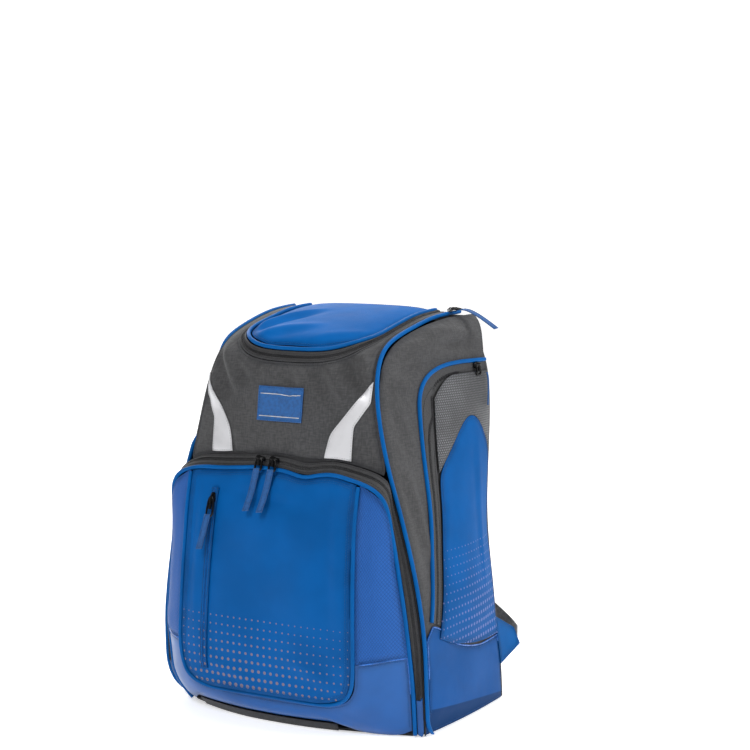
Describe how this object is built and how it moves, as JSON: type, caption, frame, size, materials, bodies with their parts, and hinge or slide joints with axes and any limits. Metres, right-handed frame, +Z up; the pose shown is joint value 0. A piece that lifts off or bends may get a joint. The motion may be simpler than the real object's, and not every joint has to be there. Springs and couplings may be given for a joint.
{
  "type": "baseball bat backpack",
  "caption": "Upright soft sports backpack with a zipped bulging front pocket, zipped side pockets, lid flap, rear slot for long gear, shoulder straps and top handle.",
  "frame": {"origin": "on the floor plane under the middle of the bag, halfway across its width", "axes": "+Z up along the standing bag, -Y towards the front pocket, +X to the right seen from the front"},
  "size_m": [0.393, 0.3453, 0.4964],
  "materials": {
    "blue_coated": "soft matte grained polyurethane",
    "blue_glossy": "glossy coated cloth",
    "blue_woven": "coarse woven texture",
    "blue_piping": "satin",
    "grey_cloth": "heather woven",
    "dark_tape": "woven zip tape",
    "dark_mesh": "dotted rubbery mesh",
    "black_cloth": "matte woven",
    "black_gloss": "gloss black",
    "silver_strip": "silver reflective",
    "grey_webbing": "ribbed webbing"
  },
  "bodies": {
    "root": {"lid_panel": "blue_coated", "lid_zip_band": "dark_tape", "lid_piping": "blue_piping", "front_panel": "grey_cloth", "front_wall": "black_cloth", "pocket_piping": "blue_piping", "pocket_zip_band": "dark_tape", "corner_wrap_right": "blue_glossy", "corner_wrap_left": "blue_glossy", "face_piping": "blue_piping", "pocket_face": "blue_coated", "pocket_wedge_right": "blue_woven", "pocket_wedge_left": "blue_woven", "pocket_wrap": "blue_glossy", "base_front_strip": "dark_tape", "side_panel_right": "grey_cloth", "side_panel_left": "grey_cloth", "seam_piping_right": "blue_piping", "seam_piping_left": "blue_piping", "side_wrap_right": "blue_glossy", "side_wrap_left": "blue_glossy", "arch_piping_right": "blue_piping", "arch_piping_left": "blue_piping", "side_zip_tape_right": "dark_tape", "side_zip_tape_left": "dark_tape", "side_tongue_right": "blue_coated", "side_tongue_left": "blue_coated", "side_mesh_right": "dark_mesh", "side_mesh_left": "dark_mesh", "back_panel": "black_cloth", "divider_panel": "black_cloth", "base_panel": "black_cloth", "reflective_strip_right": "silver_strip", "reflective_strip_left": "silver_strip", "label_patch": "blue_woven", "face_zip_tape": "dark_tape", "pocket_slider_left": "black_gloss", "pocket_pull_left": "blue_piping", "pocket_slider_right": "black_gloss", "pocket_pull_right": "blue_piping", "face_slider": "black_gloss", "face_pull": "blue_piping", "slot_slider": "black_gloss", "slot_pull": "blue_piping", "side_slider_right": "black_gloss", "side_pull_right": "blue_piping", "side_slider_left": "black_gloss", "side_pull_left": "blue_piping", "shoulder_strap_right": "black_cloth", "shoulder_strap_left": "black_cloth", "strap_anchor_right": "blue_coated", "strap_anchor_left": "blue_coated", "strap_adjuster_right": "black_gloss", "strap_adjuster_left": "black_gloss", "strap_webbing_right": "grey_webbing", "strap_webbing_left": "grey_webbing", "grab_handle": "black_cloth"}
  },
  "joints": []
}
